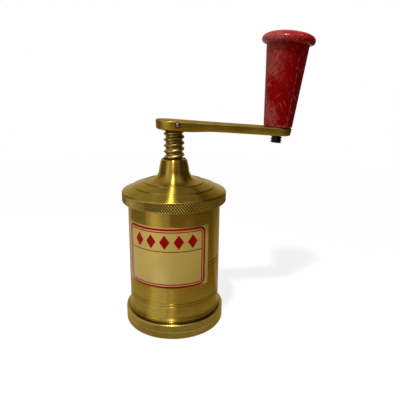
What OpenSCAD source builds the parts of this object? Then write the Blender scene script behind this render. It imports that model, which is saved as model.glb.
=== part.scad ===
// Hand coffee mill with a screw-fed spindle
// Millimetres, +Z up. The origin is the centre of the face it stands on, on the spindle's axis,
// and the crank arm points along +X.

/* [Foot cup] */
// Wall of the knurled cup around the drum's foot
cup_wall = 2.82; // [2.2:0.02:5]
// Height of the cup's rim above the table
cup_h = 8.7; // [8:0.1:10.4]
// Thickness of the cup's floor
cup_floor = 2.2; // [1.6:0.1:2.8]

/* [Drum] */
// Outside diameter of the drum
barrel_d = 53.2; // [52:0.2:55]
// Wall of the drum around the beans
barrel_wall = 2.2; // [1.8:0.1:2.6]
// Height of the drum from the cup's rim to the lid
barrel_len = 69.8; // [62:0.2:80]
// How far the foot of the drum flares past its side
foot_flare = 0.8; // [0.5:0.1:1.2]

/* [Label] */
// Height of the label
label_h = 35.2; // [20:0.2:38]
// Height of its lower edge above the cup's rim
label_lift = 21.5; // [16:0.1:24]
// How much of the drum the label covers, in degrees
label_span = 111.5; // [60:0.5:150]
// Direction that the middle of the label faces, in degrees
label_turn = -109; // [-180:1:180]
// Thickness of the label
label_t = 0.15; // [0.1:0.05:0.3]

/* [Lid] */
// Wall of the knurled rim around the drum
rim_wall = 3.32; // [2.6:0.02:5]
// Height of the knurled rim
rim_h = 6.1; // [4.8:0.1:6.4]
// How far the rim hangs down over the drum
rim_drop = 4.6; // [3.6:0.1:5]
// Width of the land between the rim and the lower step
land_1 = 6.5; // [5.8:0.1:8]
// Width of the land between the lower and the upper step
land_2 = 6.2; // [5:0.1:6.3]
// Rise from the rim to the lower step
rise_1 = 3.0; // [2.6:0.1:3.8]
// Rise from the lower to the upper step
rise_2 = 2.3; // [1.8:0.1:2.8]
// Height of each step's riser
riser = 0.4; // [0.2:0.1:0.8]
// Height of the neck's top above the drum
neck_h = 19.4; // [18:0.1:24]
// Wall of the neck at its top
neck_wall = 1.05; // [0.9:0.05:1.5]
// How much wider, in radius, the neck is where its hollow curve starts
neck_flare = 1.05; // [0.7:0.05:1.3]

/* [Spindle] */
// Diameter over the thread
thread_d = 11.6; // [11:0.1:12]
// Depth of the thread
thread_depth = 1.1; // [0.8:0.05:1.2]
// Rise in one turn
pitch = 3.3; // [2.8:0.1:3.6]
// Direction that the foot of the thread faces, in degrees
thread_start = -148; // [-180:1:180]
// Open height between the neck and the arm as drawn
rest_gap = 15.3; // [15:0.1:20]
// Turns from here down to the lowest place
turns_down = 4.5; // [3:0.25:4.5]

/* [Grinding] */
// Diameter of each steel peg
tooth_d = 3; // [2.4:0.1:3.2]
// Length of peg that stands out of its disc
tooth_len = 4; // [3.5:0.1:4.4]
// Room left at the tips of the pegs in the lowest place
peg_gap = 1; // [0.8:0.1:1.2]
// Pegs in the plate's inner ring
plate_inner_n = 6; // [4:1:8]
// Pegs in the plate's outer ring
plate_outer_n = 12; // [8:1:16]
// Pegs in the head's inner ring
head_inner_n = 8; // [5:1:10]
// Pegs in the head's outer ring
head_outer_n = 14; // [8:1:18]
// Thickness of the head
head_t = 7; // [6:0.2:8]
// Thickness of the plate
plate_t = 3; // [2.6:0.1:3.4]
// Diameter of the holes that the grounds fall through
sieve_d = 2.6; // [1.6:0.1:2.8]

/* [Crank] */
// Distance from the spindle to the grip, along the arm
arm_len = 60.8; // [50:0.2:80]
// Angle by which the arm falls away from square
droop = 4; // [0:0.5:6]
// Radius of the arm's end at the spindle
hub_r = 10.2; // [9.5:0.1:12]
// Thickness of the arm at the spindle
hub_t = 5.4; // [5:0.1:7]
// Radius of the arm's end at the grip
end_r = 8.2; // [7:0.1:9]
// Thickness of the arm at the grip
end_t = 4.6; // [3.6:0.1:4.8]
// Width of the arm halfway along
waist_w = 14.6; // [12:0.2:15]
// Diameter of the set screw
grub_d = 3; // [2:0.1:3]
// Direction of the set screw from square to the arm, in degrees
grub_turn = 6.5; // [-15:0.5:15]

/* [Grip] */
// Length of the grip to the top of its dome
grip_len = 52.2; // [44:0.1:64]
// Diameter of the grip at the arm
grip_low_d = 16.4; // [16:0.2:20]
// Diameter of the grip under its knob
grip_high_d = 23.6; // [22:0.2:25]
// Diameter of the knob
knob_d = 29.4; // [29:0.2:34]
// Diameter of the bolt
bolt_d = 6.4; // [5:0.1:7]
// Length of bolt that shows below the arm
bolt_tail = 4.4; // [3:0.1:8]
// Rise in one turn of the bolt's thread
bolt_pitch = 1.2; // [1:0.1:1.5]

/* [Fits] */
// Radial play between pieces that turn or slide on each other
run_play = 0.08; // [0.04:0.01:0.1]
// Radial play of the spindle in its nut
thread_play = 0.3; // [0.25:0.05:0.4]
// Play at the ends of turning pieces
end_play = 0.15; // [0.1:0.05:0.3]
// Gap between the grinding parts and the wall
wall_gap = 0.5; // [0.4:0.05:0.8]

/* [Hidden] */
$fn = 96;
cut = 1;
edge = 0.6;

brass = "#b08d3c";
worn_brass = "#a07f38";
steel = "#8d9094";
black_steel = "#2b2c2e";
red = "#a81f25";
cream = "#d9cf9a";
felt = "#6d6a60";

barrel_r = barrel_d / 2;
bore_r = barrel_r - barrel_wall;
spigot_inset = 0.1;
spigot_r = barrel_r - spigot_inset;
spigot_wall = 1.3;
spigot_lift = 0.4;
spigot_z = cup_floor + spigot_lift;
nest_r = spigot_r - spigot_wall;
cup_bore_r = spigot_r + run_play;
cup_r = cup_bore_r + cup_wall;
cup_line = 0.3;
lip_r = barrel_r + foot_flare;
lip_h = 1.7;
cove_r = 4;
cove_z = cup_h + lip_h + sqrt(cove_r * cove_r - pow(cove_r - foot_flare, 2));
seat_z = cup_h + barrel_len;
groove_r = 0.25;
groove_out = 0.05;
groove_rise = [10.2, 11.8, 31.1, 33.3];

plate_lift = 4.3;
plate_z = cup_h + plate_lift;
plate_top = plate_z + plate_t;
shelf_t = 2.5;
shelf_w = 2.7;
shelf_r = nest_r - shelf_w;
ring_t = 3;
dowel_d = 2;
dowel_r = (shelf_r + nest_r) / 2;
dowel_deep = 1.8;
peg_deep = 2;
peg_tip = 0.4;

head_nut_w = 11;
nut_room = 0.65;
plate_inner_r = head_nut_w / 2 / cos(30) + nut_room + tooth_d / 2;
head_outer_r = shelf_r - wall_gap - tooth_d / 2;
peg_step = (head_outer_r - plate_inner_r) / 3;
head_inner_r = plate_inner_r + peg_step;
plate_outer_r = head_inner_r + peg_step;
sieve_edge = 0.3;
sieve_inner_r = head_inner_r;
sieve_outer_r = shelf_r - sieve_edge - sieve_d / 2;
sieve_inner_n = 14;
sieve_outer_n = 24;

thread_r = thread_d / 2;
thread_mid = thread_r - thread_depth / 2;

cap_r = barrel_r + run_play;
rim_r = cap_r + rim_wall;
rim_z = seat_z - rim_drop;
rim_top = rim_z + rim_h;
step_1_r = rim_r - land_1;
step_1_z = rim_top + rise_1;
step_2_r = step_1_r - land_2;
step_2_z = step_1_z + rise_2;
neck_top = seat_z + neck_h;
neck_play = 0.6;
neck_bore_r = thread_r + neck_play;
neck_top_r = neck_bore_r + neck_wall;
neck_low_r = neck_top_r + neck_flare;
neck_land = 1.6;
neck_curve = step_2_r - neck_land - neck_low_r;
neck_low_z = step_2_z + neck_curve;
neck_edge = 0.7;

nut_wall = 1.4;
nut_r = thread_r + nut_wall;
nut_len = 11.5;
nut_flange_r = 12;
nut_flange_t = 2;
nut_z = seat_z - nut_flange_t;
nut_screw_d = 2.5;
nut_screw_r = 9.6;
nut_screw_len = 4.6;
nut_screw_head_r = 2.2;
nut_screw_head_t = 1.2;
slot_w = 0.6;

feed_down = turns_down * pitch;
head_z = plate_top + tooth_len + peg_gap + feed_down;
head_top = head_z + head_t;
head_r = bore_r - wall_gap;
wiper_t = 3;
wiper_gap = 0.3;
wiper_r = bore_r - wiper_gap;
wiper_z = head_top + end_play;
core_r = 4.3;
journal_top = wiper_z + wiper_t + end_play;
stud_r = 3.6;
stud_end = 0.3;
key_d = 2.4;
head_nut_t = 2.8;
head_washer_t = 0.5;
head_washer_r = 6;
stud_z = head_z - head_washer_t - head_nut_t - stud_end;

seat_hub = neck_top + rest_gap;
boss_h = 0.7;
boss_wall = 0.8;
boss_r = core_r + boss_wall;
hub_flat = 6.4;
boss_root = 1;
arm_top = seat_hub + boss_h + hub_t;
tenon_sunk = 0.4;
tenon_top = arm_top - tenon_sunk;
hub_waist = 1.2;
end_waist = 0.6;
grub_drop = 2;
grub_sunk = 0.15;

bolt_r = bolt_d / 2;
grip_washer_t = 0.5;
grip_washer_w = 2.8;
grip_washer_r = bolt_r + grip_washer_w;
washer_room = 0.4;
grip_seat = grip_washer_t + end_play;
grip_rim_gap = 0.1;
grip_z = end_play + grip_rim_gap;
grip_top = grip_z + grip_len;
grip_low_r = grip_low_d / 2;
grip_high_r = grip_high_d / 2;
knob_r = knob_d / 2;
knob_h = 7.5;
knob_low = grip_top - knob_h;
knob_round = 2.5;
knob_full = 2.3;
knob_root = 0.4;
bolt_head_w = 1.7;
bolt_head_r = bolt_r + bolt_head_w;
bolt_head_t = 4.6;
bolt_head_sunk = 1;
bolt_washer_t = 0.8;
bolt_washer_w = 0.6;
bolt_key = 5;
bolt_key_deep = 2.6;
bolt_lead = 0.6;
recess_gap = 1.2;
recess_r = bolt_head_r + recess_gap;
bolt_head_top = grip_top - bolt_head_sunk;
bolt_head_z = bolt_head_top - bolt_head_t;
recess_z = bolt_head_z - bolt_washer_t - end_play;

// Puts its pieces on the arm: the spindle's axis at the arm's top, X along the arm
module on_arm() {
    translate([0, 0, arm_top]) rotate([0, droop, 0]) children();
}

// Puts its pieces on the grip's axis, with zero at the arm's top
module on_grip() {
    on_arm() translate([arm_len, 0, 0]) children();
}

// Puts its pieces on the set screw's axis, pointing out of the arm's near side
module on_grub() {
    on_arm() translate([0, 0, -grub_drop]) rotate([90, 0, grub_turn]) children();
}

// A ring of equal places
module ring_of(n, r, start = 0) {
    for (i = [0 : n - 1]) rotate([0, 0, start + i * 360 / n]) translate([r, 0, 0]) children();
}

// One right-hand screw, from a circle that is carried round off its centre
module screw(r_mid, depth, rise, h, first) {
    rotate([0, 0, first])
        linear_extrude(height = h, twist = -360 * h / rise, slices = ceil(10 * h / rise), $fn = 20)
            translate([depth / 2, 0]) circle(r = r_mid);
}

module base_cup() {
    line_z = 0.48 * cup_h;
    color(brass) rotate_extrude() polygon([
        [0, 0], [cup_r - edge, 0], [cup_r, edge],
        [cup_r, line_z - cup_line], [cup_r - cup_line, line_z], [cup_r, line_z + cup_line],
        [cup_r, cup_h - edge], [cup_r - edge, cup_h],
        [cup_bore_r + edge, cup_h], [cup_bore_r, cup_h - edge],
        [cup_bore_r, cup_floor], [0, cup_floor]
    ]);
}

module barrel() {
    color(brass) difference() {
        rotate_extrude() difference() {
            polygon([
                [nest_r, spigot_z], [spigot_r, spigot_z], [spigot_r, cup_h],
                [lip_r, cup_h], [lip_r, cove_z], [barrel_r, cove_z],
                [barrel_r, seat_z - edge], [barrel_r - edge, seat_z], [bore_r, seat_z],
                [bore_r, plate_top + shelf_t], [shelf_r, plate_top + shelf_t],
                [shelf_r, plate_top], [nest_r, plate_top]
            ]);
            translate([barrel_r + cove_r, cove_z]) circle(r = cove_r);
            for (rise = groove_rise) translate([barrel_r + groove_out, cup_h + rise]) circle(r = groove_r);
        }
        ring_of(2, dowel_r) translate([0, 0, plate_top - cut])
            cylinder(d = dowel_d, h = cut + dowel_deep, $fn = 32);
    }
}

module label() {
    color(cream) translate([0, 0, cup_h + label_lift]) rotate([0, 0, label_turn - label_span / 2])
        rotate_extrude(angle = label_span) translate([barrel_r, 0]) square([label_t, label_h]);
}

module grinding_plate() {
    color(worn_brass) translate([0, 0, plate_z]) difference() {
        cylinder(r = nest_r, h = plate_t);
        ring_of(2, dowel_r) translate([0, 0, -cut]) cylinder(d = dowel_d, h = plate_t + 2 * cut, $fn = 32);
        ring_of(sieve_inner_n, sieve_inner_r) translate([0, 0, -cut])
            cylinder(d = sieve_d, h = plate_t + 2 * cut, $fn = 32);
        ring_of(sieve_outer_n, sieve_outer_r, 180 / sieve_outer_n) translate([0, 0, -cut])
            cylinder(d = sieve_d, h = plate_t + 2 * cut, $fn = 32);
        translate([0, 0, plate_t - peg_deep]) {
            ring_of(plate_inner_n, plate_inner_r) cylinder(d = tooth_d, h = peg_deep + cut, $fn = 32);
            ring_of(plate_outer_n, plate_outer_r) cylinder(d = tooth_d, h = peg_deep + cut, $fn = 32);
        }
    }
}

// One steel peg with a broken edge, standing on its root
module tooth() {
    long = peg_deep + tooth_len;
    rotate_extrude($fn = 32) polygon([
        [0, 0], [tooth_d / 2, 0], [tooth_d / 2, long - peg_tip], [tooth_d / 2 - peg_tip, long], [0, long]
    ]);
}

module plate_teeth() {
    color(steel) translate([0, 0, plate_top - peg_deep]) {
        ring_of(plate_inner_n, plate_inner_r) tooth();
        ring_of(plate_outer_n, plate_outer_r) tooth();
    }
}

module plate_dowels() {
    color(steel) ring_of(2, dowel_r) translate([0, 0, plate_z])
        cylinder(d = dowel_d, h = plate_t + dowel_deep, $fn = 32);
}

module plate_ring() {
    color(brass) translate([0, 0, plate_z - ring_t]) difference() {
        cylinder(r = nest_r, h = ring_t);
        translate([0, 0, -cut]) cylinder(r = shelf_r, h = ring_t + 2 * cut);
        ring_of(2, dowel_r, 90) translate([0, 0, -cut])
            cylinder(d = dowel_d, h = ring_t / 2 + cut, $fn = 32);
    }
}

module lid() {
    color(brass) difference() {
        rotate_extrude() difference() {
            polygon([
                [neck_bore_r, seat_z], [cap_r, seat_z], [cap_r, rim_z + edge],
                [cap_r + edge, rim_z], [rim_r - edge, rim_z], [rim_r, rim_z + edge],
                [rim_r, rim_top - edge], [rim_r - edge, rim_top],
                [step_1_r, step_1_z - riser], [step_1_r, step_1_z],
                [step_2_r, step_2_z - riser], [step_2_r, neck_low_z],
                [neck_low_r, neck_low_z],
                [neck_top_r, neck_top - neck_edge], [neck_top_r - neck_edge, neck_top],
                [neck_bore_r, neck_top]
            ]);
            translate([neck_low_r + neck_curve, neck_low_z]) circle(r = neck_curve);
            translate([neck_low_r + neck_curve, step_2_z])
                square([step_2_r - neck_low_r, neck_low_z]);
        }
        translate([0, 0, seat_z - cut]) cylinder(r = nut_r, h = nut_len + cut);
        ring_of(3, nut_screw_r) translate([0, 0, seat_z - cut])
            cylinder(d = nut_screw_d, h = nut_screw_len - nut_flange_t + cut, $fn = 32);
    }
}

// The outline of a countersunk screw, head down
module nut_screw_form() {
    rotate_extrude($fn = 32) polygon([
        [0, 0], [nut_screw_head_r, 0], [nut_screw_d / 2, nut_screw_head_t],
        [nut_screw_d / 2, nut_screw_len], [0, nut_screw_len]
    ]);
}

module feed_nut() {
    color(worn_brass) translate([0, 0, nut_z]) difference() {
        union() {
            cylinder(r = nut_flange_r, h = nut_flange_t);
            cylinder(r = nut_r, h = nut_flange_t + nut_len);
        }
        translate([0, 0, -pitch])
            screw(thread_mid + thread_play, thread_depth, pitch, nut_flange_t + nut_len + 2 * pitch,
                  thread_turn(nut_z - pitch));
        ring_of(3, nut_screw_r) nut_screw_form();
    }
}

// The direction that the thread's crest faces at a height
function thread_turn(z) = thread_start + 360 * (z - journal_top) / pitch;

module nut_screws() {
    color(steel) translate([0, 0, nut_z]) ring_of(3, nut_screw_r) difference() {
        nut_screw_form();
        translate([-nut_screw_head_r, -slot_w / 2, -cut])
            cube([2 * nut_screw_head_r, slot_w, cut + slot_w]);
    }
}

module wiper_washer() {
    color(felt) translate([0, 0, wiper_z]) difference() {
        cylinder(r = wiper_r, h = wiper_t);
        translate([0, 0, -cut]) cylinder(r = core_r + run_play, h = wiper_t + 2 * cut);
    }
}

module spindle() {
    color(brass) {
        difference() {
            rotate_extrude() polygon([
                [0, stud_z], [stud_r - edge, stud_z], [stud_r, stud_z + edge],
                [stud_r, head_top], [core_r, head_top], [core_r, tenon_top], [0, tenon_top]
            ]);
            translate([stud_r, 0, head_z - cut]) cylinder(d = key_d, h = head_t + cut, $fn = 32);
        }
        translate([0, 0, journal_top])
            screw(thread_mid, thread_depth, pitch, seat_hub - journal_top, thread_turn(journal_top));
    }
}

module grinding_head() {
    color(worn_brass) translate([0, 0, head_z]) difference() {
        rotate_extrude() polygon([
            [0, 0], [head_r - edge, 0], [head_r, edge], [head_r, head_t - edge],
            [head_r - edge, head_t], [0, head_t]
        ]);
        translate([0, 0, -cut]) cylinder(r = stud_r, h = head_t + 2 * cut);
        translate([stud_r, 0, -cut]) cylinder(d = key_d, h = head_t + 2 * cut, $fn = 32);
        translate([0, 0, -cut]) {
            ring_of(head_inner_n, head_inner_r) cylinder(d = tooth_d, h = peg_deep + cut, $fn = 32);
            ring_of(head_outer_n, head_outer_r) cylinder(d = tooth_d, h = peg_deep + cut, $fn = 32);
        }
    }
}

module head_teeth() {
    color(steel) translate([0, 0, head_z + peg_deep]) mirror([0, 0, 1]) {
        ring_of(head_inner_n, head_inner_r) tooth();
        ring_of(head_outer_n, head_outer_r) tooth();
    }
}

module head_key() {
    color(steel) translate([stud_r, 0, head_z]) cylinder(d = key_d, h = head_t, $fn = 32);
}

module head_washer() {
    color(steel) translate([0, 0, head_z - head_washer_t]) difference() {
        cylinder(r = head_washer_r, h = head_washer_t);
        translate([0, 0, -cut]) cylinder(r = stud_r, h = head_washer_t + 2 * cut);
    }
}

module head_nut() {
    color(steel) translate([0, 0, head_z - head_washer_t - head_nut_t]) difference() {
        cylinder(d = head_nut_w / cos(30), h = head_nut_t, $fn = 6);
        translate([0, 0, -cut]) cylinder(r = stud_r, h = head_nut_t + 2 * cut);
    }
}

module crank_arm() {
    far = arm_len + end_r + cut;
    color(brass) difference() {
        union() {
            on_arm() intersection() {
                translate([0, 0, -2 * hub_t]) linear_extrude(height = 2 * hub_t) {
                    circle(r = hub_r);
                    translate([arm_len, 0]) circle(r = end_r);
                    polygon([
                        [0, hub_r - hub_waist], [arm_len / 2, waist_w / 2], [arm_len, end_r - end_waist],
                        [arm_len, end_waist - end_r], [arm_len / 2, -waist_w / 2], [0, hub_waist - hub_r]
                    ]);
                }
                rotate([90, 0, 0]) translate([0, 0, -2 * hub_r]) linear_extrude(height = 4 * hub_r)
                    polygon([
                        [-hub_r - cut, 0], [far, 0], [far, -end_t], [arm_len - end_r, -end_t],
                        [1.5 * hub_r, -(hub_t + end_t) / 2], [hub_flat, -hub_t], [-hub_r - cut, -hub_t]
                    ]);
            }
            translate([0, 0, seat_hub])
                cylinder(r1 = boss_r, r2 = boss_r + boss_h + boss_root, h = boss_h + boss_root);
        }
        translate([0, 0, seat_hub - cut]) cylinder(r = core_r, h = boss_h + hub_t + 2 * cut);
        on_grip() translate([0, 0, -2 * end_t]) cylinder(r = bolt_r, h = 3 * end_t, $fn = 48);
        on_grub() cylinder(d = grub_d, h = 2 * hub_r, $fn = 32);
    }
}

module arm_grub() {
    face = hub_r - grub_sunk;
    color(steel) difference() {
        on_grub() difference() {
            cylinder(d = grub_d, h = face, $fn = 32);
            translate([-grub_d, -slot_w / 2, face - slot_w]) cube([2 * grub_d, slot_w, slot_w + cut]);
        }
        translate([0, 0, seat_hub]) cylinder(r = core_r, h = boss_h + hub_t + cut);
    }
}

module grip_washer() {
    color(steel) on_grip() difference() {
        cylinder(r = grip_washer_r, h = grip_washer_t, $fn = 48);
        translate([0, 0, -cut]) cylinder(r = bolt_r, h = grip_washer_t + 2 * cut, $fn = 48);
    }
}

module handle_bolt() {
    foot = -end_t - bolt_tail;
    turns = floor((bolt_tail - bolt_lead) / bolt_pitch);
    deep = 0.4 * bolt_pitch;
    color(black_steel) on_grip() difference() {
        rotate_extrude($fn = 48) difference() {
            polygon([
                [0, foot], [bolt_r - deep, foot], [bolt_r, foot + deep], [bolt_r, bolt_head_z],
                [bolt_head_r, bolt_head_z], [bolt_head_r, bolt_head_top - edge],
                [bolt_head_r - edge, bolt_head_top], [0, bolt_head_top]
            ]);
            for (i = [0 : turns - 1]) translate([bolt_r, foot + deep + (i + 0.5) * bolt_pitch])
                polygon([[-deep, 0], [cut, -(deep + cut) * 0.6], [cut, (deep + cut) * 0.6]]);
        }
        translate([0, 0, bolt_head_top - bolt_key_deep])
            cylinder(d = bolt_key / cos(30), h = bolt_key_deep + cut, $fn = 6);
    }
}

module bolt_washer() {
    color(steel) on_grip() translate([0, 0, bolt_head_z - bolt_washer_t]) difference() {
        cylinder(r = bolt_head_r + bolt_washer_w, h = bolt_washer_t, $fn = 48);
        translate([0, 0, -cut]) cylinder(r = bolt_r, h = bolt_washer_t + 2 * cut, $fn = 48);
    }
}

module handle_grip() {
    lip_z = knob_low + knob_round;
    dome_h = grip_top - lip_z;
    color(red) on_grip() difference() {
        rotate_extrude() {
            polygon([
                [0, grip_z], [grip_low_r - edge, grip_z], [grip_low_r, grip_z + edge],
                [grip_high_r, knob_low + knob_root], [knob_r - knob_round, knob_low],
                [knob_r - knob_round, lip_z], [0, lip_z]
            ]);
            translate([knob_r - knob_round, lip_z]) circle(r = knob_round);
            translate([0, lip_z]) polygon(concat([[0, 0]], [for (t = [0 : 5 : 90])
                [knob_r * pow(cos(t), 2 / knob_full), dome_h * pow(sin(t), 2 / knob_full)]]));
        }
        translate([0, 0, grip_z - cut]) {
            cylinder(r = bolt_r + run_play, h = grip_len + 2 * cut, $fn = 48);
            cylinder(r = grip_washer_r + washer_room, h = cut + grip_seat - grip_z, $fn = 48);
        }
        translate([0, 0, recess_z]) cylinder(r = recess_r, h = grip_len, $fn = 48);
    }
}

base_cup();
barrel();
label();
grinding_plate();
plate_teeth();
plate_dowels();
plate_ring();
lid();
feed_nut();
nut_screws();
wiper_washer();
spindle();
grinding_head();
head_teeth();
head_key();
head_washer();
head_nut();
crank_arm();
arm_grub();
grip_washer();
handle_bolt();
bolt_washer();
handle_grip();
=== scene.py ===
# %% [markdown]
# # A turned brass coffee mill
# The mill stands on a knurled foot. Its drum carries a foil label, its stepped lid guides a coarse screw
# spindle, and a drooping arm with a red grip turns that spindle. The solids that move are already packed,
# so this lesson loads them as a fixed frame and dresses the ones that can be seen with finer meshes.

from math import atan2, cos, hypot, pi, radians, sin

import bmesh
import bpy
from mathutils import Matrix, Vector


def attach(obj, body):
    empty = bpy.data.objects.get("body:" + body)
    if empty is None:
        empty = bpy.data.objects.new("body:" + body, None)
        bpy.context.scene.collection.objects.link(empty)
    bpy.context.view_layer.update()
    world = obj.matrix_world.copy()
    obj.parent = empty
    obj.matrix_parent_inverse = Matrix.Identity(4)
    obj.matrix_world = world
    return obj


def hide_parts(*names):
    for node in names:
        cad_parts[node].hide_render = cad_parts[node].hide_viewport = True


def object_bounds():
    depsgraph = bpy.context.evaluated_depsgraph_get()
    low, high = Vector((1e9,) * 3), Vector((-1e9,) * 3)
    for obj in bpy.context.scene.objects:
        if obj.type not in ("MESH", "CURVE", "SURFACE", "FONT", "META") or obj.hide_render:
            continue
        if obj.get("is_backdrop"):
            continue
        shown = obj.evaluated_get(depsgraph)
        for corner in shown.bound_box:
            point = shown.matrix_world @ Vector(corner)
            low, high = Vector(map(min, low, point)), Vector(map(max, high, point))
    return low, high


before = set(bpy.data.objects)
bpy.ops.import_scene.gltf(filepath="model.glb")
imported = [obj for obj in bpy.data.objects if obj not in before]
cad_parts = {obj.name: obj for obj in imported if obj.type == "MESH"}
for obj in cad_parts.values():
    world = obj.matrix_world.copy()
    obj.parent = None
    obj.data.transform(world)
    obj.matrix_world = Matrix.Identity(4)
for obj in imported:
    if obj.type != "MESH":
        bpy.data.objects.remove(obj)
cad_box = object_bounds()

# %% [markdown]
# ## The camera
# A round lid shows as an ellipse, and how flat each ellipse is tells how high the camera stood. Fitting a
# pinhole view to all the turned edges gave the place, the pitch and the lens below. They were fitted with
# the picture's own right-hand direction as X. The crank arm, which is X here, points a little away from
# the camera, so the whole view is turned about the spindle by that angle.

# %% Camera
MM = 0.001
VIEW_TURN = radians(-10.92)
VIEW_PLACE = Vector((14.97, -234.02, 139.5)) * MM
VIEW_PITCH = radians(90 - 15.74)
VIEW_ROLL = radians(0.746)
FOCAL_PIXELS = 417.6
FRAME_PIXELS = 400

lens = bpy.data.cameras.new("camera")
lens.sensor_width = 36
lens.lens = lens.sensor_width * FOCAL_PIXELS / FRAME_PIXELS
lens.clip_start = 0.01
camera = bpy.data.objects.new("camera", lens)
bpy.context.scene.collection.objects.link(camera)
camera.matrix_world = (Matrix.Rotation(VIEW_TURN, 4, "Z") @ Matrix.Translation(VIEW_PLACE)
                       @ Matrix.Rotation(VIEW_PITCH, 4, "X") @ Matrix.Rotation(VIEW_ROLL, 4, "Z"))
bpy.context.scene.camera = camera
bpy.context.scene.view_settings.view_transform = "Standard"
view_azimuth = atan2(camera.location.y, camera.location.x)
print("camera at", [round(c, 4) for c in camera.location], "lens", round(lens.lens, 2))

# %% [markdown]
# ## Writing shaders as sums
# A material is a graph of nodes, which is long to write out. A small class that wraps one socket lets a
# mask be written as an ordinary sum, and each operator adds one Math node. Every other node comes from
# one method, which makes it, sets its settings first and then fills or links its sockets.

# %% A socket that can stand in a sum
class Flow:
    """One shader socket that can stand in a Python sum."""

    def __init__(self, graph, socket):
        self.graph, self.socket = graph, socket

    def math(self, operation, first, second=0.0):
        return self.graph.add("ShaderNodeMath", {"operation": operation}, {0: first, 1: second})

    def __add__(self, other):
        return self.math("ADD", self, other)

    def __sub__(self, other):
        return self.math("SUBTRACT", self, other)

    def __rsub__(self, other):
        return self.math("SUBTRACT", other, self)

    def __mul__(self, other):
        return self.math("MULTIPLY", self, other)

    def __truediv__(self, other):
        return self.math("DIVIDE", self, other)

    def __pow__(self, other):
        return self.math("POWER", self, other)

    def __abs__(self):
        return self.math("ABSOLUTE", self)

    __radd__, __rmul__ = __add__, __mul__

    def least(self, other):
        return self.math("MINIMUM", self, other)

    def most(self, other):
        return self.math("MAXIMUM", self, other)

    def rise(self, low, high):
        """A smooth step from 0 at low to 1 at high; low may be the larger one."""
        return self.graph.add("ShaderNodeMapRange", {"interpolation_type": "SMOOTHSTEP"},
                              {"Value": self, "From Min": low, "From Max": high})


print("sums of sockets ready")


# %% A node tree and a finish
class Graph:
    """A node tree, with one way to add a node to it."""

    def __init__(self, tree):
        self.tree = tree

    def add(self, kind, settings=None, sockets=None, output=0):
        node = self.tree.nodes.new(kind)
        for name, value in (settings or {}).items():
            setattr(node, name, value)
        for key, value in (sockets or {}).items():
            self.feed(node.inputs[key], value)
        return Flow(self, node.outputs[output])

    def feed(self, socket, value):
        if isinstance(value, Flow):
            self.tree.links.new(value.socket, socket)
        else:
            socket.default_value = value


class Finish(Graph):
    """One procedural material around a Principled shader; even values are the same all over it."""

    def __init__(self, name, **even):
        self.material = bpy.data.materials.new(name)
        self.material.use_nodes = True
        super().__init__(self.material.node_tree)
        self.shader = self.tree.nodes["Principled BSDF"]
        for socket, value in even.items():
            self.shader.inputs[socket.replace("_", " ")].default_value = value

    def point(self, place=(0, 0, 0), tilt=0.0):
        """The surface point in millimetres, in a frame at a place and tilted about Y."""
        spot = self.add("ShaderNodeTexCoord", output="Object")
        spot = self.add("ShaderNodeMapping", {"vector_type": "TEXTURE"},
                        {"Vector": spot, "Location": place, "Rotation": (0, tilt, 0), "Scale": (MM, MM, MM)})
        return [self.add("ShaderNodeSeparateXYZ", sockets={0: spot}, output=axis) for axis in "XYZ"]

    def noise(self, x, y, z, detail=2.0, roughness=0.5):
        at = self.add("ShaderNodeCombineXYZ", sockets={0: x, 1: y, 2: z})
        return self.add("ShaderNodeTexNoise", sockets={"Vector": at, "Scale": 1.0, "Detail": detail,
                                                       "Roughness": roughness})

    def mix(self, share, first, second):
        return self.add("ShaderNodeMix", {"data_type": "RGBA"}, {0: share, 6: first, 7: second}, output=2)

    def done(self, colour, roughness=None, height=None, relief=0.0):
        """Link colour and roughness, and a height that stands out by a relief in millimetres."""
        self.feed(self.shader.inputs["Base Color"], colour)
        if roughness is not None:
            self.feed(self.shader.inputs["Roughness"], roughness)
        if height is not None:
            bump = self.add("ShaderNodeBump", sockets={"Strength": 1.0, "Distance": relief * MM,
                                                       "Height": height})
            self.feed(self.shader.inputs["Normal"], bump)
        print(self.material.name, "uses", len(self.tree.nodes), "nodes")
        return self.material


print("node trees ready")

# %% [markdown]
# ## World and floor
# The background is plain white, so the world is white at a strength of one for the camera and for
# reflections, and gives the object only a soft fill. The floor is a pale disc that fades into that white
# at its edge. It is nearly clear, so that all it keeps is a faint shadow.

# %% World
FILL = 0.29

world = bpy.data.worlds.new("white room")
bpy.context.scene.world = world
world.use_nodes = True
room = Graph(world.node_tree)
seen, mirrored, through = [room.add("ShaderNodeLightPath", output="Is " + kind + " Ray")
                           for kind in ("Camera", "Glossy", "Transmission")]
backdrop = room.tree.nodes["Background"]
room.feed(backdrop.inputs["Color"], (1, 1, 1, 1))
room.feed(backdrop.inputs["Strength"], seen.most(mirrored).most(through) * (1 - FILL) + FILL)
print("world with a fill of", FILL)

# %% Floor
FLOOR_R, FLOOR_SHADE = 700, 0.2
PAPER_DULL, PAPER_CLEAN = (0.91, 0.91, 0.91, 1), (0.95, 0.95, 0.95, 1)


def made(name, bm, *finishes):
    """An object at the origin from a bmesh, with its finishes."""
    mesh = bpy.data.meshes.new(name)
    bm.to_mesh(mesh)
    bm.free()
    for finish in finishes:
        mesh.materials.append(finish)
    thing = bpy.data.objects.new(name, mesh)
    bpy.context.scene.collection.objects.link(thing)
    return thing


paper = Finish("floor paper", Roughness=0.9, Specular_IOR_Level=0.1)
x, y, z = paper.point()
away = (x * x + y * y) ** 0.5
fibre = paper.noise(x * 0.2, y * 0.2, z, 4)
paper.feed(paper.shader.inputs["Alpha"], away.rise(FLOOR_R * 0.9, FLOOR_R * 0.15) * FLOOR_SHADE)
floor_paper = paper.done(paper.mix(fibre, PAPER_DULL, PAPER_CLEAN))

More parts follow.
